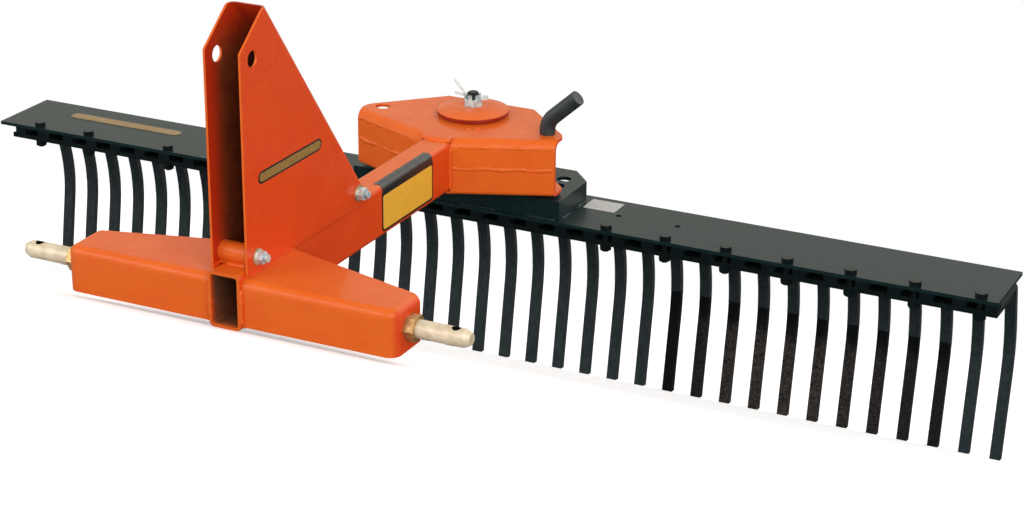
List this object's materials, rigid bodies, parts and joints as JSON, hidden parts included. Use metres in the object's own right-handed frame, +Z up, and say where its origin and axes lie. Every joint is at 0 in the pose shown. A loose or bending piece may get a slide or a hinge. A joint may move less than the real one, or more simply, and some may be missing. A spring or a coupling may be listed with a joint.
{
  "type": "landscape rake",
  "caption": "Towed landscape rake for a small tractor's three-point hitch: folded mast, tongue, swivelling head with a flat moldboard and curved spring tines",
  "frame": {"origin": "middle of the footprint's bounding box, on the floor that the parked rake stands on", "axes": "+X to the right seen from the hitch, along the moldboard and the lower link pins; +Y from the hitch to the rake head; +Z up from the floor. The rake is parked nose down by 24.0 degrees about X"},
  "size_m": [1.524, 0.855, 0.3753],
  "materials": {
    "orange_paint": "gloss orange enamel over steel",
    "black_paint": "satin black enamel over steel",
    "tine_steel": "black enamel over spring steel, worn at the tips",
    "black_bolts": "painted over with the moldboard",
    "pin_steel": "turned steel, yellow zinc",
    "yellow_plating": "yellow zinc plating",
    "zinc_plating": "bright zinc plating",
    "bright_plating": "bright plating",
    "dark_steel": "black oxide",
    "black_vinyl": "dipped vinyl sleeve"
  },
  "bodies": {
    "hitch_frame": {"tongue_tube": "orange_paint", "hitch_arm_left": "orange_paint", "hitch_arm_right": "orange_paint", "hitch_pin_left": "pin_steel", "hitch_pin_right": "pin_steel", "hitch_nut_left": "yellow_plating", "hitch_nut_right": "yellow_plating", "mast": "orange_paint", "mast_boss_front": "orange_paint", "mast_boss_rear": "orange_paint", "mast_bolt_front": "zinc_plating", "mast_bolt_rear": "zinc_plating", "mast_nut_front": "zinc_plating", "mast_nut_rear": "zinc_plating", "mast_washers": "zinc_plating", "housing_top": "orange_paint", "housing_bottom": "orange_paint", "index_pin": "pin_steel", "index_grip": "black_vinyl"},
    "rake_head": {"index_box": "black_paint", "thrust_washer": "black_paint", "pivot_tube": "orange_paint", "pivot_disc": "orange_paint", "pivot_bolt": "dark_steel", "castle_nut": "bright_plating", "cotter_pin": "zinc_plating", "moldboard": "black_paint", "clamp_bar": "black_paint", "clamp_bolts": "black_bolts", "tines": "tine_steel"}
  },
  "joints": [
    {"name": "head_swivel", "type": "hinge", "parent": "hitch_frame", "child": "rake_head", "pos_m": [0, 0.24389, 0.32995], "axis": [0, -0.4063, 0.9137], "range_deg": [-25, 25]}
  ]
}
